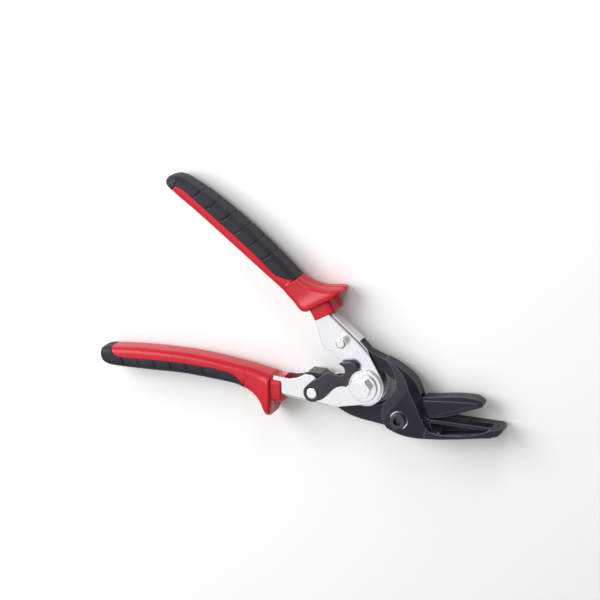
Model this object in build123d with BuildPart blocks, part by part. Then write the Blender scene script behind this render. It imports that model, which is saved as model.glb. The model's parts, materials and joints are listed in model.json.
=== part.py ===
"""Compound-leverage aviation snips with a one-hand latch, lying on their far side.

Frame: millimetres, +Z up. The origin is on the blade pivot axis, at the flat end of the
blade pivot nut. +X runs along the cutting line of the lower jaw towards its nose.
The handles stand open, which is the rest position of the opening spring.
"""
from build123d import *
from math import cos, radians, sin
import os

# ---------------------------------------------------------------- pivots of the linkage
MIDDLE = 11.0                      # height of the tool's middle plane
BLADE_PIVOT = (0.0, 0.0)
HANDLE_PIVOT = (-22.4, 17.4)
UPPER_LINK = (-36.8, 44.0)         # fork tail to upper handle
LOWER_LINK = (-54.0, 10.4)         # blade tail to lower handle, and latch pivot

# ---------------------------------------------------------------- layers, from the middle plane
SHEET = 1.6                        # handle channel sheet
UPPER_HALF = 6.0                   # outside half width of the upper channel
LOWER_HALF = 7.7                   # outside half width of the lower channel
HEAD_HALF = 8.0                    # outside half width of the fork
SLOT_HALF = 3.8                    # half width of the slot between the fork's cheeks
BLADE_HALF = 3.5                   # half thickness of the upper jaw blade
TAIL_HALF = 4.2                    # half thickness of the fork's tail
SPOT_FACE = 6.2                    # height of the spot faces round the blade pivot
SPOT_FACE_R = 5.9
SPOT_DEPTH = 6.0                   # cutter travel, clear of the cheek
THROUGH = 40.0                     # length of a cutter that passes right through
REST_HALF = MIDDLE                 # the far side parts all end on this plane

# ---------------------------------------------------------------- fasteners
BUSH_R = 4.0                       # blade pivot bush, outside
BOSS_R = 10.9                      # boss of the fork round the blade pivot
SCREW_R = 2.5                      # M5 screw
SCREW_HEAD_R = 5.0
SCREW_HEAD_H = 3.4
SCREW_HEAD_ROUND = 0.8
SOCKET_HALF = 2.4                  # hexagon socket, half across flats
SOCKET_DEPTH = 2.4
SCREW_END = 3.6                    # thread inside the closed nut
PIVOT_WASHER_R = 5.7
PIVOT_NUT_HALF = 4.0               # half across flats
PIVOT_NUT_EDGE = 0.4
WASHER_H = 0.8
BOLT_R = 3.0                       # M6 handle bolt
BOLT_AF = 10.0
BOLT_HEAD_H = 4.0
BIG_WASHER_R = 8.5
BIG_WASHER_H = 1.6
BIG_WASHER_ROUND = 0.5
BOLT_CORNER = 1.6                  # turned circle over the across flats half, before its slope
BOLT_SLOPE = 15.0
SLEEVE_R = 4.0
RIVET_R = 2.5
RIVET_HEAD_R = 4.2
RIVET_HEAD_H = 1.6
RIVET_HEAD_ROUND = 1.0
STUD_R = 3.2                       # tall head of the upper rivet, caught by the latch
STUD_H = 5.6
STUD_ROUND = 1.2
EYE_WASHER_R = 4.6                 # spacers and friction washer on the lower rivet
FORK_EYE_R = 4.8
BLADE_EYE_R = 5.1
SPRING_WIRE = 1.4
COIL_R = 5.6
COIL_START = -95.0                 # direction of the lower leg's root
COIL_TURNS = 3.35
COIL_STEP = 30                     # degrees between the points of the wire
COIL_PITCH = 1.6
LEG_LOWER = 19.0
LEG_UPPER = 12.5
RUNNING_FIT = 0.05                 # radial play of a pin in its hole
OPEN_PIVOT_PLAY = 0.45             # radial play of the blade eye round the bush

# ---------------------------------------------------------------- latch
LATCH_H = 2.4
LATCH_LIFT = 0.3                   # thickness of the friction washer under the latch
LATCH_SINK = 1.0                   # the rivet head sits this deep in the latch
LATCH_RIVET_R = 3.5
LATCH_RIVET_H = 2.0
LATCH_RIVET_ROUND = 0.9
LATCH_POCKET_R = 4.1
LATCH_EDGE = 0.25
LATCH_EYE_R = 5.6
NOTCH_R = 3.4
NOTCH_ANGLE = 44.5                 # direction of the notch from the latch pivot
NOTCH_REACH = 23.55

# ---------------------------------------------------------------- grips
GRIP_HALF = 8.5
GUARD_HALF = MIDDLE                # the guards reach the resting plane
COLLAR_HALF = 9.2
GRIP_EDGE = 3.0                    # rounding of the grip's long edges
HEEL_ROUND = 3.0
HEEL_BULGE = 3.6                   # the heel's end stands this far past its corners
NECK_BACK = 3.0                    # the flare starts this far back from the bar's end
NECK_INSET = 1.2                   # the flare grows out of the bar from just under its surface
GUARD_H = 4.0                      # thickness of the guard plate
COLLAR_H = 5.9                     # how far the collar stands out of the guard
COLLAR_GROOVE = 2.2
COLLAR_LENGTH = 14.4
COLLAR_CORNER = 2.5
COLLAR_ROOT_INSET = 1.0            # the groove behind the collar is this deep
COLLAR_ROOT_CORNER = 2.0
COLLAR_SHIFT = -3.4                # collar centre along the guard, towards the other handle
GUARD_LENGTH = 26.0
GUARD_CORNER = 5.0
GROOVES = 6
GROOVE_START = 18.5                # first finger groove, from the heel
GROOVE_PITCH = 11.0
GROOVE_R = 1.0
PRESSED_X = -80.0                  # from here to its end the lower tang is pressed narrower
UPPER_TANG = [(-53.2, 50.8), (-56.0, 57.0), (-64.5, 68.2), (-121.6, 110.7), (-118.0, 115.5), (-60.0, 72.2),
              (-46.4, 61.0), (-40.0, 55.8)]
LOWER_TANG = [(-70.0, 16.3), (-78.0, 16.6), (-90.0, 18.4), (-150.0, 19.4), (-150.0, 13.4), (-90.0, 12.2),
              (-78.0, 6.6), (-69.0, 4.6)]

os.makedirs("parts", exist_ok=True)


def at(height, centre=BLADE_PIVOT):
    """Sketch plane at a height above or below the middle plane, centred on a pivot."""
    return Plane((*centre, MIDDLE + height))


def polar(centre, radius, angle):
    """Point at a distance and a direction from a centre."""
    return (centre[0] + radius * cos(radians(angle)), centre[1] + radius * sin(radians(angle)))


def write(part, name):
    """Label one finished sub-part and write its STEP file."""
    part.label = name
    export_step(part, f"parts/{name}.step")


# ================================================================= lower jaw and fork
JAW_TOP = 2.5                      # height of the cutting line over the pivot
JAW_END = 56.0                     # where the slots stop and the nose begins
SLOT_FAR = -4.2                    # far side of the blade's slot
BAR_NEAR = 5.2                     # near side of the middle bar
RAIL_NEAR = 8.7                    # near side of the near rail
RAIL_FAR = -10.5                   # far side of the far rail
NEAR_RAIL_W = 1.9
RAIL_DEPTH = 5.2                   # far rail, below the cutting line
STRAP_LOW = 0.5                    # lower edge of the middle bar, over the side window

BELLY = [(60.0, -1.6), (50.5, -3.6), (38.4, -5.9), (26.3, -7.8), (7.2, -9.4), (-7.0, -5.6)]
BACK_HALF = 4.4                    # half width of the head's back before its sloping edges

BACK = [(-30.0, 43.0), (-18.0, 38.5), (-10.1, 35.7), (-3.7, 33.1), (2.7, 29.3), (6.6, 26.2), (9.2, 22.9),
        (11.5, 17.7), (13.0, 13.6), (14.2, 9.5), (16.4, 4.5), (18.5, 0.0)]
BACK_RIDGE = [(-30.0, 40.0), (-19.2, 35.4), (-11.2, 33.0), (-4.2, 30.2), (1.2, 26.2), (4.6, 21.0), (7.6, 15.2),
              (10.5, 9.7), (13.0, 4.4), (15.7, -1.5)]

with BuildPart() as back_shape:
    # rounded back of the head: full outline in the middle, sloping edges out to the cheeks
    for height, outline in ((BACK_HALF, BACK), (HEAD_HALF, BACK_RIDGE)):
        with BuildSketch(at(height)):
            with BuildLine():
                back = Spline(*outline)
                Polyline(back @ 1, (18.0, -25.0), (-30.0, -25.0), back @ 0)
            make_face()
    loft(ruled=True)
    mirror(about=at(0))
    with BuildSketch(at(-BACK_HALF)):
        with BuildLine():
            back = Spline(*BACK)
            Polyline(back @ 1, (18.0, -25.0), (-30.0, -25.0), back @ 0)
        make_face()
    extrude(amount=2 * BACK_HALF)

RIDGE_START = (-6.4, 3.1)          # ridge on each cheek, from the pivot boss to the back
RIDGE_END = (4.5, 19.0)
FACET_FALL = 10.0                  # degrees that the facet beside the ridge falls away
CUTTER = 80.0                      # size of the block that leaves the facet

with BuildPart() as facet_cut:
    ridge = (Vector(*RIDGE_END) - Vector(*RIDGE_START)).normalized()
    fall = Vector(-ridge.Y, ridge.X) * sin(radians(FACET_FALL))
    facet = Plane((*RIDGE_START, MIDDLE + HEAD_HALF), x_dir=ridge, z_dir=fall + Vector(0, 0, cos(radians(FACET_FALL))))
    with BuildSketch(facet):
        Rectangle(CUTTER, CUTTER)
    extrude(amount=CUTTER)
    mirror(about=at(0))

with BuildPart() as far_rail:
    # flares out past the far cheek, and keeps to the outline of the jaw
    with BuildSketch(at(RAIL_FAR)):
        with BuildLine():
            low_side = Spline(*BELLY)
            flat = Polyline(low_side @ 1, (10.0, JAW_TOP), (61.6, JAW_TOP))
            ThreePointArc(flat @ 1, (62.2, 0.4), low_side @ 0)
        make_face()
    extrude(amount=HEAD_HALF)
    with BuildSketch(Plane.XZ.offset(-JAW_TOP)):
        with BuildLine():
            Polyline((15.0, MIDDLE - HEAD_HALF), (31.0, MIDDLE + RAIL_FAR), (59.5, MIDDLE + RAIL_FAR),
                     (62.2, MIDDLE + RAIL_FAR + 3.2), (62.2, MIDDLE - 5.0), (15.0, MIDDLE - 5.0),
                     (15.0, MIDDLE - HEAD_HALF))
        make_face()
    extrude(amount=RAIL_DEPTH, mode=Mode.INTERSECT)

with BuildPart() as fork:
    # cheeks: pivot boss, pocket for the lower handle, recess line under the upper handle
    with BuildSketch(at(-HEAD_HALF)):
        with BuildLine():
            belly = Spline(*BELLY)
            boss = ThreePointArc(belly @ 1, polar(BLADE_PIVOT, BOSS_R, 170), (-9.6, 9.4))
            pocket = Polyline(boss @ 1, (-5.9, 14.2), (-4.2, 16.6), (-2.7, 20.1))
            recess = Spline(pocket @ 1, (-3.3, 24.4), (-6.4, 30.9), (-12.9, 37.4), (-18.0, 39.6))
            Polyline(recess @ 1, (-18.0, 46.0), (60.0, 46.0), belly @ 0)
        make_face()
    extrude(amount=2 * HEAD_HALF)
    add(back_shape.part, mode=Mode.INTERSECT)
    add(facet_cut.part, mode=Mode.SUBTRACT)

    # jaw
    with BuildSketch(at(-HEAD_HALF)):
        with BuildLine():
            under = Spline(*BELLY)
            top = Polyline(under @ 1, (10.0, JAW_TOP), (61.6, JAW_TOP))
            ThreePointArc(top @ 1, (62.2, 0.4), under @ 0)
        make_face()
    extrude(amount=2 * HEAD_HALF)

    # slot between the cheeks: the blade swings here, the crescent web stays
    with BuildSketch(at(-SLOT_HALF)):
        with BuildLine():
            web = Spline((-11.0, 24.0), (-2.0, 23.4), (3.2, 19.6), (8.5, 16.4))
            Polyline(web @ 1, (24.0, 16.4), (24.0, -14.0), (-16.0, -14.0), (-16.0, 24.0), web @ 0)
        make_face()
    extrude(amount=2 * SLOT_HALF, mode=Mode.SUBTRACT)

    # tail into the upper channel
    with BuildSketch(at(-TAIL_HALF)):
        with BuildLine():
            Polyline((-33.8, 47.75), (-27.4, 43.2), (-23.0, 40.3), (-17.8, 38.1), (-10.5, 35.4), (-3.0, 31.0),
                     (-0.5, 24.6), (-5.5, 24.0), (-10.3, 27.3), (-14.1, 28.9), (-39.2, 39.9), close=True)
        make_face()
        with Locations(UPPER_LINK):
            Circle(FORK_EYE_R)
    extrude(amount=2 * TAIL_HALF)

    add(far_rail.part)

    # open the jaw between the far rail and the middle bar, down to a thin belly
    with BuildSketch(at(SLOT_FAR)):
        with BuildLine():
            belly_floor = Spline((14.0, -7.2), (26.0, -6.2), (38.4, -4.2), (50.5, -1.9), (JAW_END, -1.0))
            Polyline(belly_floor @ 1, (JAW_END, 6.0), (14.0, 6.0), belly_floor @ 0)
        make_face()
    extrude(amount=SLOT_HALF + 0.2 - SLOT_FAR, mode=Mode.SUBTRACT)

    # near side of the jaw: the rail lies lower than the cutting line
    with BuildSketch(at(BAR_NEAR)):
        with BuildLine():
            dip = Spline((14.6, 4.0), (18.9, -3.6), (29.0, -4.9), (40.0, -3.6), (54.5, 1.3), (57.5, 4.5))
            Line(dip @ 1, dip @ 0)
        make_face()
    extrude(amount=5, mode=Mode.SUBTRACT)

    # waste channel between the middle bar and the near rail
    with BuildSketch(at(RAIL_NEAR - NEAR_RAIL_W)):
        with BuildLine():
            floor_line = Spline((17.0, 4.0), (19.5, -5.2), (30.0, -6.3), (42.0, -4.7), (53.5, -0.4), (56.5, 4.0))
            Line(floor_line @ 1, floor_line @ 0)
        make_face()
    extrude(amount=-(RAIL_NEAR - NEAR_RAIL_W - BAR_NEAR), mode=Mode.SUBTRACT)

    # side window between the middle bar and the near rail, into the open jaw
    with BuildSketch(at(RAIL_NEAR - NEAR_RAIL_W)):
        with BuildLine():
            sill = Spline((19.2, STRAP_LOW), (21.0, -4.7), (30.0, -5.9), (42.0, -4.3), (50.5, -1.6), (54.0, STRAP_LOW))
            Line(sill @ 1, sill @ 0)
        make_face()
    extrude(amount=-(RAIL_NEAR - NEAR_RAIL_W - SLOT_HALF), mode=Mode.SUBTRACT)

    # near rail: a lip standing out of the near cheek
    with BuildSketch(at(HEAD_HALF - 0.6)):
        with BuildLine():
            rail_top = Spline((17.2, -2.2), (19.6, -4.0), (29.0, -5.1), (40.0, -3.8), (54.5, 1.1))
            rail_nose = Polyline(rail_top @ 1, (56.4, JAW_TOP), (60.6, JAW_TOP), (60.2, -0.6), (56.5, -2.6))
            rail_low = Spline(rail_nose @ 1, (50.5, -3.6), (38.4, -5.9), (26.3, -7.8), (16.0, -8.9))
            Line(rail_low @ 1, rail_top @ 0)
        make_face()
    extrude(amount=RAIL_NEAR - HEAD_HALF + 0.6)

    # nose rounded off from the far rail to the near rail
    with BuildSketch(Plane.XZ.offset(10)):
        with BuildLine():
            nose = ThreePointArc((62.3, MIDDLE - 6.0), (61.9, MIDDLE + 2.5), (58.4, MIDDLE + 9.5))
            Polyline(nose @ 1, (70.0, MIDDLE + 9.5), (70.0, MIDDLE - 6.0), nose @ 0)
        make_face()
    extrude(amount=-20, mode=Mode.SUBTRACT)

    # pivot bore with a spot face on each side, and the tail's rivet hole
    with Locations((0, 0, MIDDLE)):
        Cylinder(BUSH_R + RUNNING_FIT, THROUGH, mode=Mode.SUBTRACT)
    for side in (1, -1):
        with Locations((0, 0, MIDDLE + side * (SPOT_FACE + SPOT_DEPTH / 2))):
            Cylinder(SPOT_FACE_R, SPOT_DEPTH, mode=Mode.SUBTRACT)
    with Locations((*UPPER_LINK, MIDDLE)):
        Cylinder(RIVET_R + RUNNING_FIT, THROUGH, mode=Mode.SUBTRACT)

# ================================================================= upper jaw blade
PLATE_NEAR = 3.75                  # near face of the raised cutting plate
FLANGE_NEAR = 3.4
FLANGE_FAR = -6.0
CREST = [(13.6, 15.1), (27.4, 17.2), (38.4, 18.5), (48.2, 18.0)]

with BuildPart() as flange:
    # wide top flange of the blade, cut to its plan shape: it narrows at the tip
    with BuildSketch(at(FLANGE_FAR)):
        with BuildLine():
            top = Spline(*CREST)
            end = Line(top @ 1, (48.2, 16.0))
            under = Spline(end @ 1, (38.4, 16.4), (27.4, 15.1), (13.6, 13.0))
            Line(under @ 1, top @ 0)
        make_face()
    extrude(amount=FLANGE_NEAR - FLANGE_FAR)
    with BuildSketch(Plane.XZ.offset(-20)):
        with BuildLine():
            side = Line((13.6, MIDDLE + FLANGE_NEAR), (13.6, MIDDLE + FLANGE_FAR))
            back = Line(side @ 1, (37.0, MIDDLE + FLANGE_FAR))
            round_tip = ThreePointArc(back @ 1, (48.4, MIDDLE - 2.6), (49.0, MIDDLE + 1.6))
            Polyline(round_tip @ 1, (46.5, MIDDLE + FLANGE_NEAR), side @ 0)
        make_face()
    extrude(amount=10, mode=Mode.INTERSECT)

with BuildPart() as blade:
    with BuildSketch(at(-BLADE_HALF)):
        with BuildLine():
            crest = Spline(*CREST)
            tip = ThreePointArc(crest @ 1, (50.1, 15.6), (48.3, 13.4))
            edge = Spline(tip @ 1, (42.3, 10.8), (33.4, 7.0), (24.3, 4.1), (15.1, 2.2))
            root = Polyline(edge @ 1, (11.5, 1.4), polar(BLADE_PIVOT, 9.0, -40))
            heel = ThreePointArc(root @ 1, polar(BLADE_PIVOT, 8.8, -75), (-7.6, -5.9))
            low = Spline(heel @ 1, (-19.0, -4.4), (-31.7, -2.1), (-38.4, 0.9))
            eye = Polyline(low @ 1, (-44.0, 4.9), polar(LOWER_LINK, BLADE_EYE_R, -60))
            round_end = ThreePointArc(eye @ 1, polar(LOWER_LINK, BLADE_EYE_R, 190), polar(LOWER_LINK, BLADE_EYE_R, 72))
            high = Spline(round_end @ 1, (-40.0, 11.5), (-19.3, 4.8), (-13.1, 7.2), (-7.4, 11.0))
            Polyline(high @ 1, (2.0, 12.4), crest @ 0)
        make_face()
    extrude(amount=2 * BLADE_HALF)
    add(flange.part)

    # raised cutting plate on the near face
    with BuildSketch(at(BLADE_HALF)):
        with BuildLine():
            plate_top = Spline((13.4, 12.9), (27.2, 14.4), (36.3, 15.2), (46.6, 15.6))
            plate_tip = Line(plate_top @ 1, (47.2, 14.6))
            bevel = Spline(plate_tip @ 1, (39.5, 12.0), (27.5, 7.4), (21.5, 5.0), (15.3, 2.9))
            Line(bevel @ 1, plate_top @ 0)
        make_face()
    extrude(amount=PLATE_NEAR - BLADE_HALF)

    with Locations((0, 0, MIDDLE)):
        Cylinder(BUSH_R + OPEN_PIVOT_PLAY, THROUGH, mode=Mode.SUBTRACT)
    with Locations((*LOWER_LINK, MIDDLE)):
        Cylinder(RIVET_R + RUNNING_FIT, THROUGH, mode=Mode.SUBTRACT)

# ================================================================= blade pivot hardware
with BuildPart() as bush:
    with BuildSketch(at(-SPOT_FACE)):
        Circle(BUSH_R)
        Circle(SCREW_R, mode=Mode.SUBTRACT)
    extrude(amount=2 * SPOT_FACE)

with BuildPart() as pivot_washer:
    with BuildSketch(at(SPOT_FACE)):
        Circle(PIVOT_WASHER_R)
        Circle(SCREW_R, mode=Mode.SUBTRACT)
    extrude(amount=WASHER_H)

with BuildPart() as pivot_screw:
    with BuildSketch(at(SPOT_FACE + WASHER_H)):
        Circle(SCREW_HEAD_R)
    extrude(amount=SCREW_HEAD_H)
    fillet(pivot_screw.edges().group_by(Axis.Z)[-1], SCREW_HEAD_ROUND)
    with BuildSketch(at(SPOT_FACE + WASHER_H + SCREW_HEAD_H)):
        RegularPolygon(SOCKET_HALF, 6, major_radius=False)
    extrude(amount=-SOCKET_DEPTH, mode=Mode.SUBTRACT)
    with BuildSketch(at(SPOT_FACE + WASHER_H)):
        Circle(SCREW_R)
    extrude(amount=-(SPOT_FACE + WASHER_H + SPOT_FACE + SCREW_END))

with BuildPart() as pivot_nut:
    # closed nut with a flat end: the tool lies on it
    with BuildSketch(at(-REST_HALF)):
        RegularPolygon(PIVOT_NUT_HALF, 6, major_radius=False)
    extrude(amount=REST_HALF - SPOT_FACE)
    chamfer(pivot_nut.edges().group_by(Axis.Z)[0], PIVOT_NUT_EDGE)
    with BuildSketch(at(-SPOT_FACE)):
        Circle(SCREW_R)
    extrude(amount=-SCREW_END, mode=Mode.SUBTRACT)

# ================================================================= handle channels
UPPER_NOSE_R = 11.9                # round end of the upper cheeks
LOWER_NOSE_R = 10.8
BEND_R = 2.2

with BuildPart() as upper_channel:
    with BuildSketch(at(-UPPER_HALF)):
        with BuildLine():
            end = ThreePointArc(polar(HANDLE_PIVOT, UPPER_NOSE_R, 12), polar(HANDLE_PIVOT, UPPER_NOSE_R, -80),
                                polar(HANDLE_PIVOT, UPPER_NOSE_R, 160))
            inner = Polyline(end @ 1, (-35.6, 30.2), (-43.7, 37.3), (-45.9, 37.0), (-47.9, 38.0), (-50.2, 40.8),
                             (-51.6, 45.4), (-53.2, 50.8), (-56.0, 57.0), (-64.5, 68.2), (-121.6, 110.7))
            spine = Polyline(inner @ 1, (-118.0, 115.5), (-60.0, 72.2), (-46.4, 61.0), (-26.6, 44.9))
            front = Line(spine @ 1, (-22.2, 40.7))
            Spline(front @ 1, (-19.2, 35.5), (-12.8, 24.5), end @ 0)
        make_face()
    extrude(amount=2 * UPPER_HALF)
    bends = upper_channel.edges().filter_by(GeomType.LINE).filter_by(
        lambda e: (e.center() - Vector(-36.5, 52.95, e.center().Z)).length < 0.5)
    fillet(bends, BEND_R)
    # hollow between the cheeks, leaving the spine
    with BuildSketch(at(-UPPER_HALF + SHEET)):
        with BuildLine():
            Polyline((-28.0, 43.7), (-47.6, 59.7), (-61.0, 69.7), (-125.0, 117.4), (-135.0, 105.0),
                     (-75.0, 60.0), (-60.0, 20.0), (-20.0, 0.0), (0.0, 20.0), (-10.0, 50.0),
                     (-25.4, 46.9), close=True)
        make_face()
    extrude(amount=2 * (UPPER_HALF - SHEET), mode=Mode.SUBTRACT)
    with Locations((*HANDLE_PIVOT, MIDDLE)):
        Cylinder(SLEEVE_R + RUNNING_FIT, THROUGH, mode=Mode.SUBTRACT)
    with Locations((*UPPER_LINK, MIDDLE)):
        Cylinder(RIVET_R, THROUGH, mode=Mode.SUBTRACT)

with BuildPart() as lower_channel:
    with BuildSketch(at(-LOWER_HALF)):
        with BuildLine():
            end = ThreePointArc(polar(HANDLE_PIVOT, LOWER_NOSE_R, -62), polar(HANDLE_PIVOT, LOWER_NOSE_R, 20),
                                polar(HANDLE_PIVOT, LOWER_NOSE_R, 122))
            hump = Polyline(end @ 1, (-37.0, 21.2), (-50.6, 18.0), (-52.2, 18.8), (-53.9, 20.1))
            crown = ThreePointArc(hump @ 1, (-56.8, 20.9), (-59.6, 20.6))
            rear = Polyline(crown @ 1, (-61.8, 19.2), (-65.0, 17.5), (-70.0, 16.3), (-78.0, 16.6), (-90.0, 18.4),
                            (-150.0, 19.4), (-150.0, 13.4), (-90.0, 12.2), (-78.0, 6.6), (-69.0, 4.6))
            spine = Line(rear @ 1, (-46.3, 2.2))
            Polyline(spine @ 1, (-43.6, 3.1), (-37.8, 3.2), end @ 0)
        make_face()
    extrude(amount=2 * LOWER_HALF)
    bends = lower_channel.edges().filter_by(GeomType.LINE).filter_by(
        lambda e: (e.center() - Vector(-57.65, 3.4, e.center().Z)).length < 0.5)
    fillet(bends, BEND_R)
    # hollow between the cheeks, leaving the spine
    with BuildSketch(at(-LOWER_HALF + SHEET)):
        with BuildLine():
            Polyline((-46.3, -4.0), (-46.3, 4.1), (-69.2, 6.5), (-77.2, 8.4), (-89.8, 14.0), (-152.0, 15.2),
                     (-152.0, 40.0), (0.0, 40.0), (0.0, -4.0), (-46.3, -4.0))
        make_face()
    extrude(amount=2 * (LOWER_HALF - SHEET), mode=Mode.SUBTRACT)
    # the tang inside the grip is pressed narrower than the cheeks
    for side in (1, -1):
        with BuildSketch(at(side * LOWER_HALF)):
            with Locations((-116.0, 15.0)):
                Rectangle(72.0, 20.0)
        extrude(amount=-side * (LOWER_HALF - UPPER_HALF), mode=Mode.SUBTRACT)
    with Locations((*HANDLE_PIVOT, MIDDLE)):
        Cylinder(BOLT_R, THROUGH, mode=Mode.SUBTRACT)
    with Locations((*LOWER_LINK, MIDDLE)):
        Cylinder(RIVET_R, THROUGH, mode=Mode.SUBTRACT)

# ================================================================= handle pivot hardware
with BuildPart() as pivot_sleeve:
    # distance sleeve: the lower cheeks clamp it, the upper cheeks turn on it
    with BuildSketch(at(-LOWER_HALF + SHEET, HANDLE_PIVOT)):
        Circle(SLEEVE_R)
        Circle(BOLT_R, mode=Mode.SUBTRACT)
    extrude(amount=2 * (LOWER_HALF - SHEET))

with BuildPart() as big_washer:
    with BuildSketch(at(LOWER_HALF, HANDLE_PIVOT)):
        Circle(BIG_WASHER_R)
        Circle(BOLT_R, mode=Mode.SUBTRACT)
    extrude(amount=BIG_WASHER_H)
    fillet(big_washer.edges().group_by(Axis.Z)[-1].sort_by(SortBy.RADIUS)[-1], BIG_WASHER_ROUND)

with BuildPart() as handle_bolt:
    with BuildSketch(at(LOWER_HALF + BIG_WASHER_H, HANDLE_PIVOT)):
        RegularPolygon(BOLT_AF / 2, 6, major_radius=False, rotation=12)
    extrude(amount=BOLT_HEAD_H)
    # turned top corners of the hexagon
    with BuildSketch(at(LOWER_HALF + BIG_WASHER_H, HANDLE_PIVOT)):
        Circle(BOLT_AF / 2 + BOLT_CORNER)
    extrude(amount=BOLT_HEAD_H, taper=BOLT_SLOPE, mode=Mode.INTERSECT)
    with BuildSketch(at(LOWER_HALF + BIG_WASHER_H, HANDLE_PIVOT)):
        Circle(BOLT_R)
    extrude(amount=-(LOWER_HALF + BIG_WASHER_H + REST_HALF))

with BuildPart() as thin_nut:
    with BuildSketch(at(-REST_HALF, HANDLE_PIVOT)):
        RegularPolygon(BOLT_AF / 2, 6, major_radius=False)
        Circle(BOLT_R, mode=Mode.SUBTRACT)
    extrude(amount=REST_HALF - LOWER_HALF)

with BuildPart() as spring:
    # one wire: lower leg, coil round the distance sleeve, upper leg; the legs press the tails apart
    coil_steps = int(COIL_TURNS * 360 / COIL_STEP)
    coil_bottom = MIDDLE - COIL_TURNS * COIL_PITCH / 2
    coil_end = COIL_START + coil_steps * COIL_STEP
    coil_top = coil_bottom + COIL_PITCH * coil_steps * COIL_STEP / 360
    wire_points = [(*polar(polar(HANDLE_PIVOT, COIL_R, COIL_START), reach, COIL_START - 90), coil_bottom)
                   for reach in (LEG_LOWER, 0.6 * LEG_LOWER, 5.0)]
    wire_points += [(*polar(HANDLE_PIVOT, COIL_R, COIL_START + step * COIL_STEP),
                     coil_bottom + COIL_PITCH * step * COIL_STEP / 360) for step in range(coil_steps + 1)]
    wire_points += [(*polar(polar(HANDLE_PIVOT, COIL_R, coil_end), reach, coil_end + 90), coil_top)
                    for reach in (4.0, 0.65 * LEG_UPPER, LEG_UPPER)]
    with BuildLine():
        wire = Spline(*wire_points)
    with BuildSketch(Plane(wire @ 0, z_dir=wire % 0)):
        Circle(SPRING_WIRE / 2)
    sweep(path=wire)

# ================================================================= rivets
with BuildPart() as upper_rivet:
    # tall domed stud on the near side, low head on the far side
    with BuildSketch(at(-UPPER_HALF, UPPER_LINK)):
        Circle(RIVET_R)
    extrude(amount=2 * UPPER_HALF)
    with BuildSketch(at(UPPER_HALF, UPPER_LINK)):
        Circle(STUD_R)
    extrude(amount=STUD_H)
    fillet(upper_rivet.edges().group_by(Axis.Z)[-1], STUD_ROUND)
    with BuildSketch(at(-UPPER_HALF, UPPER_LINK)):
        Circle(RIVET_HEAD_R)
    extrude(amount=-RIVET_HEAD_H)
    fillet(upper_rivet.edges().group_by(Axis.Z)[0], RIVET_HEAD_ROUND)

with BuildPart() as lower_rivet:
    # shoulder for the latch, flat head, low head on the far side
    with BuildSketch(at(-LOWER_HALF, LOWER_LINK)):
        Circle(RIVET_R)
    extrude(amount=2 * LOWER_HALF + LATCH_LIFT + LATCH_H)
    with BuildSketch(at(LOWER_HALF + LATCH_LIFT + LATCH_H - LATCH_SINK, LOWER_LINK)):
        Circle(LATCH_RIVET_R)
    extrude(amount=LATCH_RIVET_H)
    fillet(lower_rivet.edges().group_by(Axis.Z)[-1], LATCH_RIVET_ROUND)
    with BuildSketch(at(-LOWER_HALF, LOWER_LINK)):
        Circle(RIVET_HEAD_R)
    extrude(amount=-RIVET_HEAD_H)
    fillet(lower_rivet.edges().group_by(Axis.Z)[0], RIVET_HEAD_ROUND)

with BuildPart() as spacers:
    # one each side of the blade's tail eye
    for bottom in (-LOWER_HALF + SHEET, BLADE_HALF):
        with BuildSketch(at(bottom, LOWER_LINK)):
            Circle(EYE_WASHER_R)
            Circle(RIVET_R, mode=Mode.SUBTRACT)
        extrude(amount=LOWER_HALF - SHEET - BLADE_HALF)

# ================================================================= latch
NOTCH = polar(LOWER_LINK, NOTCH_REACH, NOTCH_ANGLE)

with BuildPart() as latch:
    with BuildSketch(at(LOWER_HALF + LATCH_LIFT)):
        with BuildLine():
            upper_edge = Polyline(polar(LOWER_LINK, LATCH_EYE_R, 128), (-54.2, 18.2), (-51.2, 19.6), (-46.0, 24.0),
                                  (-43.6, 24.8))
            notch_low = Polyline(upper_edge @ 1, (-40.4, 23.9), polar(NOTCH, NOTCH_R, -118))
            notch = ThreePointArc(notch_low @ 1, polar(NOTCH, NOTCH_R, -20), polar(NOTCH, NOTCH_R, 70))
            beak = Polyline(notch @ 1, (-37.8, 31.0), (-36.9, 31.7), (-31.6, 32.7))
            horn = ThreePointArc(beak @ 1, (-27.4, 31.2), (-26.2, 27.8))
            neck = ThreePointArc(horn @ 1, (-30.6, 23.4), (-32.6, 17.2))
            lower_edge = Spline(neck @ 1, (-35.5, 17.2), (-41.7, 13.7), (-47.2, 7.6),
                                polar(LOWER_LINK, LATCH_EYE_R, -50))
            ThreePointArc(lower_edge @ 1, polar(LOWER_LINK, LATCH_EYE_R, -140), upper_edge @ 0)
        make_face()
    extrude(amount=LATCH_H)
    with Locations((*LOWER_LINK, MIDDLE + LOWER_HALF + LATCH_LIFT)):
        Cylinder(RIVET_R + RUNNING_FIT, 20, mode=Mode.SUBTRACT)
    with BuildSketch(at(LOWER_HALF + LATCH_LIFT + LATCH_H - LATCH_SINK, LOWER_LINK)):
        Circle(LATCH_POCKET_R)
    extrude(amount=5, mode=Mode.SUBTRACT)
    chamfer(latch.faces().sort_by(Axis.Z)[-1].outer_wire().edges(), LATCH_EDGE)

with BuildPart() as friction_washer:
    with BuildSketch(at(LOWER_HALF, LOWER_LINK)):
        Circle(EYE_WASHER_R)
        Circle(RIVET_R, mode=Mode.SUBTRACT)
    extrude(amount=LATCH_LIFT)

with BuildPart() as bumper:
    with BuildSketch(at(-LOWER_HALF + SHEET)):
        with BuildLine():
            Polyline((-60.6, 17.5), (-60.6, 20.2), (-58.6, 21.9), (-50.4, 21.9), (-48.2, 20.2), (-47.6, 17.5),
                     (-60.6, 17.5))
        make_face()
    extrude(amount=2 * (LOWER_HALF - SHEET))


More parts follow.
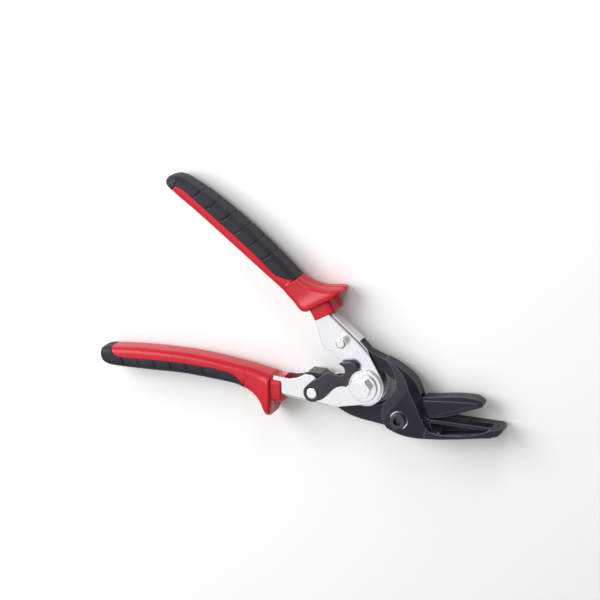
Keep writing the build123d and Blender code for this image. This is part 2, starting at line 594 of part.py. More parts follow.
# ================================================================= grips
def whole_grip(inner, outer, guard_centre, guard_angle, tang):
    """Grip before it is parted into core and cover: bar, neck, guard plate and grooved collar.

    inner and outer are the arcs of the bar's long sides from heel to neck. guard_angle is
    the direction along the guard plate, away from the other handle.
    """
    turn = 90 if guard_angle < 0 else -90
    outwards = Vector(1, 0, 0).rotate(Axis.Z, guard_angle)
    guard_plane = Plane((*guard_centre, MIDDLE), x_dir=outwards, z_dir=outwards.rotate(Axis.Z, turn))
    across = (Vector(*outer[2]) - Vector(*inner[2])).normalized()
    along = across.rotate(Axis.Z, turn)
    neck_width = (Vector(*outer[2]) - Vector(*inner[2])).length
    neck_middle = (Vector(*outer[2]) + Vector(*inner[2])) * 0.5 - along * NECK_BACK
    neck_plane = Plane((neck_middle.X, neck_middle.Y, MIDDLE), x_dir=across, z_dir=along)
    heel = (Vector(*inner[0]) + Vector(*outer[0])) * 0.5
    heel_end = heel + (heel - (Vector(*inner[1]) + Vector(*outer[1])) * 0.5).normalized() * HEEL_BULGE
    with BuildPart() as grip:
        with BuildSketch(at(-GRIP_HALF)):
            with BuildLine():
                inner_side = ThreePointArc(*inner)
                outer_side = ThreePointArc(*outer)
                Line(inner_side @ 1, outer_side @ 1)
                ThreePointArc(inner_side @ 0, heel_end, outer_side @ 0)
            make_face()
            fillet(vertices().sort_by_distance((heel.X, heel.Y, MIDDLE))[:2], HEEL_ROUND)
        extrude(amount=2 * GRIP_HALF)
        fillet(grip.faces().sort_by(Axis.Z)[-1].edges() + grip.faces().sort_by(Axis.Z)[0].edges(), GRIP_EDGE)
        # finger grooves across the outer side
        for step in range(GROOVES):
            place = outer_side @ ((GROOVE_START + step * GROOVE_PITCH) / outer_side.length)
            with Locations((place.X, place.Y, MIDDLE)):
                Cylinder(GROOVE_R, 4 * GRIP_HALF, mode=Mode.SUBTRACT)
        with BuildSketch(neck_plane):
            RectangleRounded(neck_width - NECK_INSET, 2 * GRIP_HALF - NECK_INSET, GRIP_EDGE)
        with BuildSketch(guard_plane.offset(-GUARD_H)):
            RectangleRounded(GUARD_LENGTH, 2 * GUARD_HALF, GUARD_CORNER)
        loft()
        with BuildSketch(guard_plane):
            RectangleRounded(GUARD_LENGTH, 2 * GUARD_HALF, GUARD_CORNER)
        extrude(amount=-GUARD_H)
        with BuildSketch(guard_plane):
            with Locations((COLLAR_SHIFT, 0)):
                RectangleRounded(COLLAR_LENGTH - 2 * COLLAR_ROOT_INSET, 2 * (COLLAR_HALF - COLLAR_ROOT_INSET),
                                 COLLAR_ROOT_CORNER)
        extrude(amount=COLLAR_GROOVE)
        with BuildSketch(guard_plane.offset(COLLAR_GROOVE)):
            with Locations((COLLAR_SHIFT, 0)):
                RectangleRounded(COLLAR_LENGTH, 2 * COLLAR_HALF, COLLAR_CORNER)
        extrude(amount=COLLAR_H - COLLAR_GROOVE)
        add(tang, mode=Mode.SUBTRACT)
    return grip.part


def cover_region(split, corners):
    """Prism that takes the soft cover out of a whole grip: split is its border with the core."""
    with BuildPart() as region:
        with BuildSketch(at(-2 * GUARD_HALF)):
            with BuildLine():
                border = Spline(*split)
                Polyline(border @ 1, *corners, border @ 0)
            make_face()
        extrude(amount=4 * GUARD_HALF)
    return region.part


with BuildPart() as upper_tang:
    with BuildSketch(at(-UPPER_HALF)):
        with BuildLine():
            Polyline(UPPER_TANG, close=True)
        make_face()
    extrude(amount=2 * UPPER_HALF)

with BuildPart() as lower_tang:
    for half, start in ((LOWER_HALF, -60.0), (UPPER_HALF, -170.0)):
        with BuildSketch(at(-half)):
            with BuildLine():
                Polyline(LOWER_TANG, close=True)
            make_face()
            with Locations(((PRESSED_X + start) / 2, 10.0)):
                Rectangle(abs(PRESSED_X - start), 40.0, mode=Mode.INTERSECT)
        extrude(amount=2 * half)

upper_whole = whole_grip(inner=((-151.9, 127.9), (-113.3, 99.0), (-74.9, 70.0)),
                         outer=((-145.1, 134.0), (-102.0, 108.8), (-66.0, 80.0)),
                         guard_centre=(-48.9, 66.7), guard_angle=31.0, tang=upper_tang.part)
upper_region = cover_region(split=((-150.5, 121.5), (-147.6, 125.7), (-144.6, 127.4), (-140.0, 125.6),
                                   (-118.0, 109.8), (-96.0, 93.4), (-85.0, 84.4), (-79.0, 80.4),
                                   (-74.0, 80.2), (-71.2, 84.0), (-70.0, 92.0)),
                            corners=((-70.0, 110.0), (-140.0, 150.0), (-165.0, 130.0), (-158.0, 121.5)))
lower_whole = whole_grip(inner=((-194.6, 19.9), (-140.0, 23.5), (-94.0, 19.4)),
                         outer=((-191.8, 9.0), (-140.0, 10.0), (-97.0, 5.5)),
                         guard_centre=(-80.9, 4.1), guard_angle=-87.0, tang=lower_tang.part)
lower_region = cover_region(split=((-191.0, 25.0), (-187.6, 19.4), (-184.6, 16.4), (-179.0, 15.6),
                                   (-161.0, 16.7), (-124.4, 17.0), (-110.7, 15.8), (-104.0, 12.8),
                                   (-100.0, 8.6), (-98.5, 2.0)),
                            corners=((-98.5, -12.0), (-206.0, -12.0), (-206.0, 25.0)))

with BuildPart() as upper_core:
    add(upper_whole)
    add(upper_region, mode=Mode.SUBTRACT)

with BuildPart() as upper_cover:
    add(upper_whole)
    add(upper_region, mode=Mode.INTERSECT)

with BuildPart() as lower_core:
    add(lower_whole)
    add(lower_region, mode=Mode.SUBTRACT)

with BuildPart() as lower_cover:
    add(lower_whole)
    add(lower_region, mode=Mode.INTERSECT)

# ================================================================= files
pieces = {
    "lower_jaw_fork": fork, "upper_jaw_blade": blade,
    "blade_pivot_screw": pivot_screw, "blade_pivot_washer": pivot_washer,
    "blade_pivot_bush": bush, "blade_pivot_nut": pivot_nut,
    "upper_channel": upper_channel, "lower_channel": lower_channel,
    "handle_pivot_bolt": handle_bolt, "handle_pivot_washer": big_washer,
    "handle_pivot_sleeve": pivot_sleeve, "handle_pivot_nut": thin_nut,
    "opening_spring": spring, "upper_link_rivet": upper_rivet,
    "lower_link_rivet": lower_rivet, "tail_spacers": spacers,
    "latch_lever": latch, "latch_washer": friction_washer, "closing_bumper": bumper,
    "upper_grip_core": upper_core, "upper_grip_cover": upper_cover,
    "lower_grip_core": lower_core, "lower_grip_cover": lower_cover,
}
for name, piece in pieces.items():
    write(piece.part, name)
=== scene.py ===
"""Looks for the aviation snips: detailed two-part grips, materials, floor, light and camera.

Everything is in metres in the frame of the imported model: the tool lies on its far side,
+X runs along the lower jaw towards its nose, +Z points out of the near face.
"""
import json
from math import acos, cos, exp, pi, radians, sin

import bpy
import numpy as np
from mathutils import Euler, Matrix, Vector


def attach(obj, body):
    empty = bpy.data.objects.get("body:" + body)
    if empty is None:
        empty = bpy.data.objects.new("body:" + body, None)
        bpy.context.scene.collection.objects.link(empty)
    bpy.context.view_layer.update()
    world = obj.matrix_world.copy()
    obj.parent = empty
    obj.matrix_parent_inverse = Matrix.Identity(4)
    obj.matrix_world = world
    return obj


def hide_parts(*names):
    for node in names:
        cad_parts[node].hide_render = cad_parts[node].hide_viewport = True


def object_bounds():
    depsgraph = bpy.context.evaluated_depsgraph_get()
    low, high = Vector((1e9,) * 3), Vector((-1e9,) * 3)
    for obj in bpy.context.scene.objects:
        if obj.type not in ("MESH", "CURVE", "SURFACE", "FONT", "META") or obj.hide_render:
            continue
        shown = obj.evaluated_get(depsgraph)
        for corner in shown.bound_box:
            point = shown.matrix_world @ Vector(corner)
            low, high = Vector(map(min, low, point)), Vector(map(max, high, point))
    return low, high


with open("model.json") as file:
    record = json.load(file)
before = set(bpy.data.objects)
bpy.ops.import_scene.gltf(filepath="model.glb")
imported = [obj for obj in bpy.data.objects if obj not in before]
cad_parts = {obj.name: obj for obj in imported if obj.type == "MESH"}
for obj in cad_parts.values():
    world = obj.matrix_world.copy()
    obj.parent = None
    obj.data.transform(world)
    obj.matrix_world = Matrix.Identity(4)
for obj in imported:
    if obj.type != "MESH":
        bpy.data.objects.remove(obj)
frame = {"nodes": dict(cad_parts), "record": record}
cad_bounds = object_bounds()

MM = 0.001
joints = {joint["name"]: joint for joint in frame["record"]["behaviour"]["joints"]}
MIDDLE = joints["handle_squeeze"]["pos_m"][2] / MM     # height of the tool's middle plane, mm

# ------------------------------------------------------------------ grip shapes, millimetres
# A station is a cross-section standing across the handle: its inner and outer end in plan,
# its half height and its corner radius. The stations run from the heel to the guard, and a
# collar's from the guard to the channel. A border is the inner edge of the cover in plan.
LOWER_STATIONS = [
    ((-196.6, 15.6), (-196.4, 14.0), 2.6, 0.8),
    ((-196.5, 16.8), (-196.0, 12.4), 4.6, 2.0),
    ((-196.1, 18.2), (-194.9, 11.0), 6.4, 3.0),
    ((-194.8, 19.6), (-192.8, 9.7), 7.7, 3.3),
    ((-191.6, 20.6), (-188.8, 8.9), 8.3, 3.3),
    ((-184.0, 21.4), (-182.0, 8.8), 8.5, 3.3),
    ((-166.0, 22.9), (-164.5, 9.2), 8.5, 3.3),
    ((-140.0, 23.5), (-140.0, 9.9), 8.5, 3.5),
    ((-118.0, 22.3), (-119.0, 9.0), 8.5, 3.5),
    ((-104.0, 20.7), (-106.0, 8.0), 8.5, 3.5),
    ((-96.0, 19.7), (-98.0, 5.6), 8.6, 3.6),
    ((-90.0, 18.6), (-92.0, 1.8), 8.9, 3.8),
    ((-87.0, 18.0), (-88.6, -2.2), 9.3, 4.0),
    ((-85.2, 17.6), (-86.6, -5.8), 10.0, 4.4),
    ((-84.2, 17.4), (-85.2, -8.0), 10.7, 4.8),
    ((-83.2, 17.2), (-83.6, -9.2), 11.0, 5.0),
    ((-82.2, 16.8), (-81.8, -9.0), 10.9, 4.8),
    ((-81.7, 16.0), (-80.9, -8.2), 10.2, 4.4),
]
LOWER_COLLAR = [
    ((-81.4, 15.2), (-80.6, 0.5), 9.2, 2.5),
    ((-79.9, 15.2), (-79.1, 0.5), 9.2, 2.5),
    ((-78.3, 15.2), (-77.6, 0.5), 9.2, 2.5),
    ((-75.6, 15.2), (-74.9, 0.7), 9.2, 2.5),
    ((-75.1, 14.9), (-74.4, 1.1), 8.8, 2.3),
    ((-74.9, 13.6), (-74.3, 2.6), 7.9, 1.6),
]
LOWER_BORDER = [
    (-190.0, 23.0), (-187.8, 19.6), (-185.4, 16.8), (-180.0, 15.6), (-161.0, 16.6), (-140.0, 17.2),
    (-124.4, 17.0), (-110.7, 15.8), (-106.3, 14.6), (-102.6, 12.0), (-99.8, 8.6), (-98.4, 4.0),
]
UPPER_STATIONS = [
    ((-153.4, 130.6), (-152.6, 131.8), 2.6, 0.8),
    ((-153.4, 129.4), (-151.6, 132.6), 4.6, 2.0),
    ((-153.0, 127.9), (-149.8, 133.4), 6.4, 3.0),
    ((-151.4, 126.4), (-147.0, 133.9), 7.7, 3.3),
    ((-148.2, 124.0), (-142.9, 133.2), 8.3, 3.3),
    ((-142.3, 119.8), (-136.3, 130.1), 8.5, 3.3),
    ((-133.5, 113.7), (-125.5, 124.4), 8.5, 3.3),
    ((-121.4, 104.8), (-112.8, 116.3), 8.5, 3.3),
    ((-108.5, 95.2), (-99.7, 107.0), 8.5, 3.3),
    ((-95.7, 85.6), (-87.1, 97.2), 8.5, 3.3),
    ((-82.9, 76.1), (-74.8, 86.9), 8.5, 3.4),
    ((-76.4, 71.2), (-67.4, 80.4), 8.6, 3.6),
    ((-72.0, 67.0), (-60.4, 76.8), 8.9, 3.8),
    ((-68.8, 64.2), (-53.0, 75.2), 9.3, 4.0),
    ((-67.0, 62.2), (-47.0, 75.3), 10.0, 4.4),
    ((-65.8, 61.0), (-43.2, 75.8), 10.7, 4.8),
    ((-64.4, 60.0), (-39.9, 75.9), 11.0, 5.0),
    ((-62.6, 59.3), (-38.4, 74.6), 10.9, 4.8),
    ((-60.9, 59.3), (-38.6, 73.2), 10.2, 4.4),
]
UPPER_COLLAR = [
    ((-58.6, 61.1), (-45.3, 69.1), 9.2, 2.5),
    ((-57.6, 59.5), (-44.3, 67.5), 9.2, 2.5),
    ((-56.6, 57.9), (-43.3, 65.9), 9.2, 2.5),
    ((-55.0, 55.2), (-41.8, 63.2), 9.2, 2.5),
    ((-54.4, 55.0), (-41.8, 62.6), 8.8, 2.3),
    ((-53.0, 55.7), (-43.0, 61.7), 7.9, 1.6),
]
UPPER_BORDER = [
    (-150.5, 121.5), (-147.8, 125.8), (-145.0, 127.6), (-140.4, 126.2), (-132.0, 120.2),
    (-118.0, 109.8), (-96.0, 93.4), (-86.0, 85.0), (-82.5, 81.9), (-78.0, 79.6), (-72.4, 78.6),
    (-67.0, 79.8), (-62.0, 83.0),
]
# side: stations, collar, border, then where the grooves start, their pitch and their slant
GRIPS = {
    "upper": (UPPER_STATIONS, UPPER_COLLAR, UPPER_BORDER, 19.5, 11.4, 2.6),
    "lower": (LOWER_STATIONS, LOWER_COLLAR, LOWER_BORDER, 14.8, 10.9, 1.9),
}

BORDER_POINTS = 160            # points on a border once it is smoothed
RING_POINTS = 72               # points round the visible skin of one cross-section
TUCK_POINTS = 24               # points of the part hidden under the cover
BAR_SPACING = 0.9              # between the rings of the core
COLLAR_SPACING = 0.5
COVER_SPACING = 0.3            # close enough to carry the grooves
LEAST_RINGS = 4                # rings between two stations, however close they are

PROUD = 0.12                   # the cover stands this much out of the core
EDGE_SINK = 0.25               # the cover's rim dips this much into the core
TUCK = 1.1                     # depth of the step in the core that the cover fills
TUCK_GAP = 0.05                # left between the cover's underside and the step
MOST_CORNER = 0.98             # largest corner radius, as a share of the half width or height
LEAST_CORNER = 0.4
SIDE_CROWN = 0.05              # how far the side and top faces fall off, as a share
TOP_CROWN = 0.045

GROOVES = 6
GROOVE_DEPTH = 0.7
GROOVE_WIDTH = 0.30
GROOVE_REACH = 8.0             # the grooves end this far past the edge of the side face
GROOVE_RUN = 6.0               # distance over which they count as crossing to the side face
GROOVE_FADE = 0.12             # share of that distance in which they reach full depth


def smooth_rows(rows, places):
    """Smooth monotone interpolation of station rows at fractional places 0 to len - 1."""
    rows = np.array(rows, float)
    steps = np.diff(rows, axis=0)
    slopes = np.zeros_like(rows)
    before, after = steps[:-1], steps[1:]
    same_way = before * after > 0
    slopes[1:-1] = np.where(same_way, 2 * before * after / np.where(same_way, before + after, 1), 0)
    slopes[0] = steps[0]
    slopes[-1] = steps[-1]
    found = []
    for place in places:
        low = min(int(place), len(rows) - 2)
        t = place - low
        found.append((2 * t**3 - 3 * t**2 + 1) * rows[low]
                     + (t**3 - 2 * t**2 + t) * slopes[low]
                     + (3 * t**2 - 2 * t**3) * rows[low + 1]
                     + (t**3 - t**2) * slopes[low + 1])
    return np.array(found)


def flat_row(station):
    """One station as a plain row of numbers."""
    inner, outer, half, corner = station
    return (*inner, *outer, half, corner)


def places_along(stations, spacing):
    """Fractional places that put the rings about one spacing apart."""
    middles = np.array([(np.array(inner) + np.array(outer)) / 2 for inner, outer, _, _ in stations])
    places = []
    for low, gap in enumerate(np.linalg.norm(np.diff(middles, axis=0), axis=1)):
        count = max(int(gap / spacing), LEAST_RINGS)
        places += [low + step / count for step in range(count)]
    return places + [len(stations) - 1]


def fit_corner(half_across, half_high, corner):
    """Corner radius, held to what the section has room for."""
    return min(corner, half_across * MOST_CORNER, half_high * MOST_CORNER)


def rim_point(half_across, half_high, corner, length):
    """Point of a crowned rounded rectangle, a length along its rim from the outer middle.

    A positive length goes over the near face and a negative one over the far face.
    """
    way = 1 if length >= 0 else -1
    left = abs(length)
    corner = fit_corner(half_across, half_high, corner)
    flat_high = half_high - corner
    flat_across = half_across - corner
    bend = corner * pi / 2
    if left < flat_high:
        x, z = half_across, left
    elif left < flat_high + bend:
        turn = (left - flat_high) / corner
        x, z = flat_across + corner * cos(turn), flat_high + corner * sin(turn)
    elif left < flat_high + bend + 2 * flat_across:
        x, z = flat_across - (left - flat_high - bend), half_high
    elif left < flat_high + 2 * bend + 2 * flat_across:
        turn = (left - flat_high - bend - 2 * flat_across) / corner
        x, z = -flat_across - corner * sin(turn), flat_high + corner * cos(turn)
    else:
        x, z = -half_across, flat_high - (left - flat_high - 2 * bend - 2 * flat_across)
    crowned_x = x * (1 - SIDE_CROWN * (z / half_high) ** 2)
    crowned_z = z * (1 - TOP_CROWN * (x / half_across) ** 2)
    return crowned_x, way * crowned_z


def half_rim(half_across, half_high, corner):
    """Length of the rim from the outer middle over the near face to the inner middle."""
    corner = fit_corner(half_across, half_high, corner)
    return 2 * (half_across - corner) + 2 * (half_high - corner) + pi * corner


def border_length(row, border):
    """How far round the rim the cover reaches in this ring: up to the border curve in plan."""
    inner = row[0:2]
    outer = row[2:4]
    half_across = np.linalg.norm(outer - inner) / 2
    half_high, corner = row[4], row[5]
    reach = half_rim(half_across, half_high, corner)
    for first, second in zip(border[:-1], border[1:]):
        sides = np.array([outer - inner, first - second]).T
        if abs(np.linalg.det(sides)) < 1e-9:
            continue
        across, along = np.linalg.solve(sides, first - inner)
        if 0 <= along <= 1 and 0 <= across <= 1:
            x = (2 * across - 1) * half_across
            corner = fit_corner(half_across, half_high, corner)
            if x > half_across - corner:
                return half_high - corner + corner * acos((x - half_across + corner) / corner)
            if x > corner - half_across:
                return half_high - corner + corner * pi / 2 + half_across - corner - x
            turn = acos(min((-x - half_across + corner) / corner, 1))
            return reach - (half_high - corner) - corner * turn
    # a ring clear of the border is all cover at the heel and all core at the neck
    middle = (inner + outer) / 2
    at_heel = np.linalg.norm(middle - border[0]) < np.linalg.norm(middle - border[-1])
    return reach if at_heel else 0.0


def ring_point(row, length, inset):
    """Point in space on a ring's rim, pressed in by inset."""
    inner = row[0:2]
    outer = row[2:4]
    span = outer - inner
    half_across = np.linalg.norm(span) / 2
    across = span / (2 * half_across)
    shrunk = (half_across - inset, row[4] - inset, max(row[5] - inset, LEAST_CORNER))
    scale = half_rim(*shrunk) / half_rim(half_across, row[4], row[5])
    x, z = rim_point(*shrunk, length * scale)
    plan = (inner + outer) / 2 + across * x
    return (plan[0] * MM, plan[1] * MM, (MIDDLE + z) * MM)


def skin(name, rings):
    """Mesh object from closed rings of points, smooth shaded, with both ends filled."""
    count = len(rings[0])
    verts = [point for ring in rings for point in ring]
    faces = []
    for low in range(len(rings) - 1):
        for k in range(count):
            a = low * count + k
            b = low * count + (k + 1) % count
            faces.append((a, b, b + count, a + count))
    faces.append(tuple(reversed(range(count))))
    faces.append(tuple(range((len(rings) - 1) * count, len(rings) * count)))
    mesh = bpy.data.meshes.new(name)
    mesh.from_pydata(verts, [], faces)
    mesh.validate()
    mesh.shade_smooth()
    piece = bpy.data.objects.new(name, mesh)
    bpy.context.scene.collection.objects.link(piece)
    return piece


def groove_depth(along, across_share, start, pitch, slant):
    """Depth of the finger grooves at a distance along the cover, 0 at their inner ends."""
    depth = 0.0
    for k in range(GROOVES):
        centre = start + k * pitch + slant * across_share
        depth = max(depth, exp(-((along - centre) / GROOVE_WIDTH) ** 2))
    fade = min(max(across_share / GROOVE_FADE, 0.0), 1.0)
    return GROOVE_DEPTH * depth * fade


def grip_core(name, stations, collar, border):
    """Hard red core: bar, flare, guard plate and collar, stepped down where the cover lies."""
    rings = []
    bar = smooth_rows([flat_row(s) for s in stations], places_along(stations, BAR_SPACING))
    neck = smooth_rows([flat_row(s) for s in collar], places_along(collar, COLLAR_SPACING))
    for row in np.vstack([bar, neck]):
        edge = border_length(row, border)
        full = half_rim(np.linalg.norm(row[2:4] - row[0:2]) / 2, row[4], row[5])
        shown = [edge + (2 * full - 2 * edge) * k / (RING_POINTS - 1) for k in range(RING_POINTS)]
        ring = [ring_point(row, length if length <= full else length - 2 * full, 0.0)
                for length in shown]
        hidden = [-edge + 2 * edge * k / (TUCK_POINTS - 1) for k in range(TUCK_POINTS)]
        tuck = TUCK if edge > 0 else 0.0
        ring += [ring_point(row, length, tuck) for length in hidden]
        rings.append(ring)
    return skin(name, rings)


def grip_cover(name, stations, border, groove_start, groove_pitch, groove_slant):
    """Soft cover: a skin with rolled edges and finger grooves, closed underneath."""
    rows = smooth_rows([flat_row(s) for s in stations], places_along(stations, COVER_SPACING))
    middles = (rows[:, 0:2] + rows[:, 2:4]) / 2
    steps = np.linalg.norm(np.diff(middles, axis=0), axis=1)
    travelled = np.concatenate([[0], np.cumsum(steps)])
    rings = []
    for row, along in zip(rows, travelled):
        edge = border_length(row, border)
        if edge <= 0:
            break
        half_high = row[4]
        top = []
        for k in range(RING_POINTS):
            share = 2 * k / (RING_POINTS - 1) - 1
            length = edge * share
            lift = PROUD if 0 < k < RING_POINTS - 1 else -EDGE_SINK
            # 0 at the inner ends of the grooves, rising to 1 towards the side face
            side_share = (half_high + GROOVE_REACH - abs(length)) / GROOVE_RUN
            side_share = min(max(side_share, 0.0), 1.0)
            cut = groove_depth(along, side_share, groove_start, groove_pitch, groove_slant)
            top.append(ring_point(row, length, cut - lift))
        under = [ring_point(row, edge - 2 * edge * k / (TUCK_POINTS - 1), TUCK - TUCK_GAP)
                 for k in range(TUCK_POINTS)]
        rings.append(top + under)
    return skin(name, rings)


# ------------------------------------------------------------------ materials
# Distances in the materials are in metres. A bump is given by its noise, depth and strength.
def new_material(name, base, metallic, roughness, specular=0.5):
    """Principled material; returns it with its node tree and shader."""
    material = bpy.data.materials.new(name)
    material.use_nodes = True
    tree = material.node_tree
    shader = tree.nodes["Principled BSDF"]
    shader.inputs["Base Color"].default_value = (*base, 1)
    shader.inputs["Metallic"].default_value = metallic
    shader.inputs["Roughness"].default_value = roughness
    shader.inputs["Specular IOR Level"].default_value = specular
    return material, tree, shader


def noise(tree, scale, detail, stretch=None):
    """Noise texture in the object's own metres."""
    coordinates = tree.nodes.new("ShaderNodeTexCoord")
    texture = tree.nodes.new("ShaderNodeTexNoise")
    texture.inputs["Scale"].default_value = scale
    texture.inputs["Detail"].default_value = detail
    source = coordinates.outputs["Object"]
    if stretch:
        mapping = tree.nodes.new("ShaderNodeMapping")
        mapping.inputs["Scale"].default_value = stretch
        tree.links.new(source, mapping.inputs["Vector"])
        source = mapping.outputs["Vector"]
    tree.links.new(source, texture.inputs["Vector"])
    return texture.outputs["Fac"]


def ramp(tree, factor, stops):
    """Colour ramp from (place, colour or grey) stops."""
    node = tree.nodes.new("ShaderNodeValToRGB")
    elements = node.color_ramp.elements
    while len(elements) < len(stops):
        elements.new(0.5)
    for element, (place, colour) in zip(elements, stops):
        element.position = place
        element.color = (*colour, 1) if isinstance(colour, tuple) else (colour, colour, colour, 1)
    tree.links.new(factor, node.inputs["Fac"])
    return node.outputs["Color"]


def vary(tree, shader, socket, factor, *stops):
    """Drive one shader input from a texture through a colour ramp."""
    tree.links.new(ramp(tree, factor, stops), shader.inputs[socket])


def bump(tree, shader, height, distance, strength, soften=0.0):
    """Bump from a height; soften also rounds the look of sharp edges by that radius."""
    node = tree.nodes.new("ShaderNodeBump")
    node.inputs["Distance"].default_value = distance
    node.inputs["Strength"].default_value = strength
    tree.links.new(height, node.inputs["Height"])
    if soften:
        bevel = tree.nodes.new("ShaderNodeBevel")
        bevel.inputs["Radius"].default_value = soften
        tree.links.new(bevel.outputs["Normal"], node.inputs["Normal"])
    tree.links.new(node.outputs["Normal"], shader.inputs["Normal"])


def edge_mask(tree, radius):
    """1 along sharp edges and 0 on flats: how far the rounded normal leans from the true one."""
    bevel = tree.nodes.new("ShaderNodeBevel")
    bevel.inputs["Radius"].default_value = radius
    geometry = tree.nodes.new("ShaderNodeNewGeometry")
    dot = tree.nodes.new("ShaderNodeVectorMath")
    dot.operation = "DOT_PRODUCT"
    tree.links.new(bevel.outputs["Normal"], dot.inputs[0])
    tree.links.new(geometry.outputs["Normal"], dot.inputs[1])
    return ramp(tree, dot.outputs["Value"], [(0.95, 1.0), (0.997, 0.0)])


def painted_edge_highlight_colour(tree, shader, radius, highlight_colour, factor, *stops):
    """Clouded base colour that turns to a painted highlight colour along sharp edges."""
    mix = tree.nodes.new("ShaderNodeMix")
    mix.data_type = "RGBA"
    flats_input, highlight_input, colour_output = mix.inputs[6], mix.inputs[7], mix.outputs[2]
    tree.links.new(edge_mask(tree, radius), mix.inputs["Factor"])
    tree.links.new(ramp(tree, factor, stops), flats_input)
    # the lighter colour along sharp edges is a painted highlight
    highlight_input.default_value = (*highlight_colour, 1)
    tree.links.new(colour_output, shader.inputs["Base Color"])


def blackened_steel():
    """Satin black forging: fine scale grain, with a painted highlight along its sharp edges."""
    material, tree, shader = new_material(
        "blackened_steel_look", (0.022, 0.019, 0.028), 0.3, 0.42, specular=0.35)
    # painted highlight: lighter purple-grey along the forging's sharp edges and ridges
    painted_edge_highlight_colour(tree, shader, 0.0007, (0.15, 0.13, 0.19), noise(tree, 90, 5),
                  (0.3, (0.012, 0.010, 0.017)), (0.7, (0.026, 0.022, 0.034)))
    vary(tree, shader, "Roughness", noise(tree, 260, 6), (0.3, 0.34), (0.75, 0.52))
    bump(tree, shader, noise(tree, 1400, 3), 0.00006, 0.6, soften=0.0005)
    return material


def plated_steel():
    """Bright plated sheet: near-white, faint rolling marks and clouding."""
    material, tree, shader = new_material("plated_steel_look", (0.88, 0.87, 0.91), 1.0, 0.2)
    vary(tree, shader, "Base Color", noise(tree, 60, 4),
         (0.25, (0.84, 0.83, 0.88)), (0.75, (0.93, 0.92, 0.95)))
    vary(tree, shader, "Roughness", noise(tree, 320, 6, (1, 6, 1)), (0.3, 0.16), (0.75, 0.30))
    bump(tree, shader, noise(tree, 900, 2, (1, 10, 1)), 0.00002, 0.35, soften=0.0007)
    return material


def bright_bolt():
    """Polished plated fastener."""
    material, tree, shader = new_material("bright_bolt_look", (0.9, 0.9, 0.92), 1.0, 0.12)
    vary(tree, shader, "Roughness", noise(tree, 500, 5), (0.3, 0.08), (0.8, 0.22))
    bump(tree, shader, noise(tree, 700, 2), 0.00002, 0.4, soften=0.0004)
    return material


def oxide_screw():
    """Black oxide socket screw."""
    material, tree, shader = new_material("oxide_screw_look", (0.07, 0.065, 0.08), 0.8, 0.35)
    vary(tree, shader, "Roughness", noise(tree, 600, 5), (0.3, 0.26), (0.8, 0.45))
    bump(tree, shader, noise(tree, 1500, 2), 0.00003, 0.4, soften=0.0003)
    return material


def spring_wire():
    """Oiled spring wire with fine drawing marks."""
    material, tree, shader = new_material("spring_wire_look", (0.30, 0.30, 0.33), 1.0, 0.3)
    vary(tree, shader, "Roughness", noise(tree, 900, 4), (0.3, 0.22), (0.8, 0.42))
    bump(tree, shader, noise(tree, 2000, 2), 0.00002, 0.4)
    return material


def latch_coating():
    """Matt dark purple-grey coating with a painted highlight along its sharp edges."""
    material, tree, shader = new_material(
        "latch_coating_look", (0.045, 0.035, 0.05), 0.2, 0.5, specular=0.35)
    # painted highlight: lighter purple-grey along the latch's sharp edges
    painted_edge_highlight_colour(tree, shader, 0.0004, (0.22, 0.19, 0.24), noise(tree, 200, 5),
                  (0.3, (0.036, 0.028, 0.041)), (0.7, (0.052, 0.041, 0.058)))
    bump(tree, shader, noise(tree, 1800, 3), 0.00004, 0.5, soften=0.0003)
    return material


def gloss_black():
    """Glossy black moulding."""
    material, tree, shader = new_material("gloss_black_look", (0.008, 0.008, 0.011), 0.0, 0.18)
    vary(tree, shader, "Roughness", noise(tree, 300, 4), (0.3, 0.13), (0.8, 0.26))
    bump(tree, shader, noise(tree, 800, 2), 0.00003, 0.3, soften=0.0006)
    return material


def red_plastic():
    """Smooth red moulding with faint flow marks and a very fine surface."""
    material, tree, shader = new_material(
        "red_plastic_look", (0.52, 0.004, 0.018), 0.0, 0.32, specular=0.4)
    vary(tree, shader, "Base Color", noise(tree, 45, 4),
         (0.25, (0.48, 0.003, 0.015)), (0.75, (0.58, 0.006, 0.022)))
    vary(tree, shader, "Roughness", noise(tree, 400, 5), (0.3, 0.27), (0.8, 0.40))
    bump(tree, shader, noise(tree, 1200, 3), 0.00004, 0.35)
    return material


def black_rubber():
    """Soft black cover: matt, finely grained, faintly purple."""
    material, tree, shader = new_material(
        "black_rubber_look", (0.016, 0.013, 0.020), 0.0, 0.55, specular=0.35)
    vary(tree, shader, "Base Color", noise(tree, 120, 6),
         (0.3, (0.011, 0.009, 0.015)), (0.72, (0.022, 0.018, 0.028)))
    vary(tree, shader, "Roughness", noise(tree, 500, 5), (0.3, 0.48), (0.8, 0.66))
    bump(tree, shader, noise(tree, 1600, 4), 0.00008, 0.5)
    return material


def dress(material, *nodes):
    """Give CAD nodes a finished material."""
    for node in nodes:
        piece = frame["nodes"][node]
        piece.data.materials.clear()
        piece.data.materials.append(material)


dress(blackened_steel(), "lower_jaw_fork", "upper_jaw_blade")
dress(plated_steel(), "upper_channel", "lower_channel", "blade_pivot_bush", "handle_pivot_sleeve",
      "tail_spacers")
dress(bright_bolt(), "handle_pivot_bolt", "handle_pivot_washer", "handle_pivot_nut",
      "upper_link_rivet", "lower_link_rivet", "blade_pivot_washer")
dress(oxide_screw(), "blade_pivot_screw", "blade_pivot_nut")
dress(spring_wire(), "opening_spring")
dress(latch_coating(), "latch_lever")
dress(gloss_black(), "closing_bumper", "latch_washer")

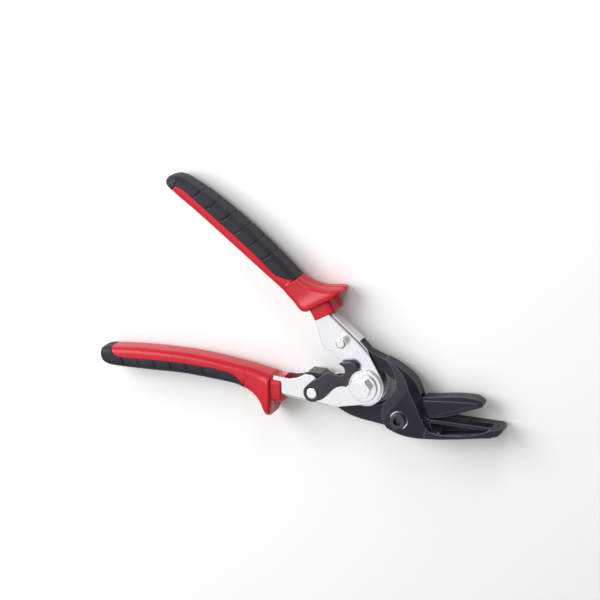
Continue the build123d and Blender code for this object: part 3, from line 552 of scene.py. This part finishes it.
# ------------------------------------------------------------------ grips
red = red_plastic()
rubber = black_rubber()
for side, (stations, collar, border, start, pitch, slant) in GRIPS.items():
    curve = smooth_rows(border, np.linspace(0, len(border) - 1, BORDER_POINTS))
    core = grip_core(f"{side}_grip_body", stations, collar, curve)
    cover = grip_cover(f"{side}_grip_sleeve", stations, curve, start, pitch, slant)
    for piece, material, node, slot in (
            (core, red, f"{side}_grip_core", "red_plastic"),
            (cover, rubber, f"{side}_grip_cover", "black_rubber")):
        piece.data.materials.append(material)
        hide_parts(node)
        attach(piece, f"{side}_handle")

# ------------------------------------------------------------------ floor, light, camera
FLOOR = 3.0                                # half width of the floor
floor_mesh = bpy.data.meshes.new("floor")
floor_corners = [(-FLOOR, -FLOOR, 0), (FLOOR, -FLOOR, 0), (FLOOR, FLOOR, 0), (-FLOOR, FLOOR, 0)]
floor_mesh.from_pydata(floor_corners, [], [(0, 1, 2, 3)])
floor = bpy.data.objects.new("floor", floor_mesh)
bpy.context.scene.collection.objects.link(floor)
floor_look = new_material("floor_look", (0.95, 0.95, 0.95), 0.0, 0.9)[0]
floor_mesh.materials.append(floor_look)

SOFT_BOX_SIDE = (-0.36, -0.20, 0.91)      # brightest direction of the surroundings
world = bpy.data.worlds.new("studio")
bpy.context.scene.world = world
world.use_nodes = True
sky = world.node_tree
place = sky.nodes.new("ShaderNodeTexCoord")
facing = sky.nodes.new("ShaderNodeVectorMath")
facing.operation = "DOT_PRODUCT"
facing.inputs[1].default_value = SOFT_BOX_SIDE
sky.links.new(place.outputs["Generated"], facing.inputs[0])
SKY_GREYS = [(0.0, 0.14), (0.5, 0.20), (0.8, 0.60), (1.0, 1.0)]     # towards that direction
background = sky.nodes["Background"]
sky.links.new(ramp(sky, facing.outputs["Value"], SKY_GREYS), background.inputs["Color"])
background.inputs["Strength"].default_value = 1.0
bpy.context.scene.view_settings.view_transform = "Standard"


def area_light(name, at, target, size, power):
    """Soft square light aimed at a point."""
    data = bpy.data.lights.new(name, "AREA")
    data.size = size
    data.energy = power
    light = bpy.data.objects.new(name, data)
    light.location = at
    light.rotation_euler = (Vector(target) - Vector(at)).to_track_quat("-Z", "Y").to_euler()
    bpy.context.scene.collection.objects.link(light)


low, high = cad_bounds
centre = Vector(((low[0] + high[0]) / 2, (low[1] + high[1]) / 2, 0))
area_light("key", centre + Vector((-0.75, 0.35, 0.75)), centre, 0.9, 12.0)
area_light("back", centre + Vector((0.15, 0.9, 0.45)), centre, 0.5, 3.0)

VIEW_TILT = (-15.5, 20.0, 1.6)             # degrees about X, Y, Z from looking straight down
VIEW_DISTANCE = 1.2
VIEW_CENTRE = Vector((-66.9 * MM, 64.4 * MM, MIDDLE * MM))
camera_data = bpy.data.cameras.new("camera")
camera_data.lens = 120                     # millimetres, as is the sensor
camera_data.sensor_width = 36
camera = bpy.data.objects.new("camera", camera_data)
camera.rotation_euler = Euler([radians(angle) for angle in VIEW_TILT])
camera.location = VIEW_CENTRE + camera.rotation_euler.to_matrix() @ Vector((0, 0, VIEW_DISTANCE))
bpy.context.scene.collection.objects.link(camera)
bpy.context.scene.camera = camera
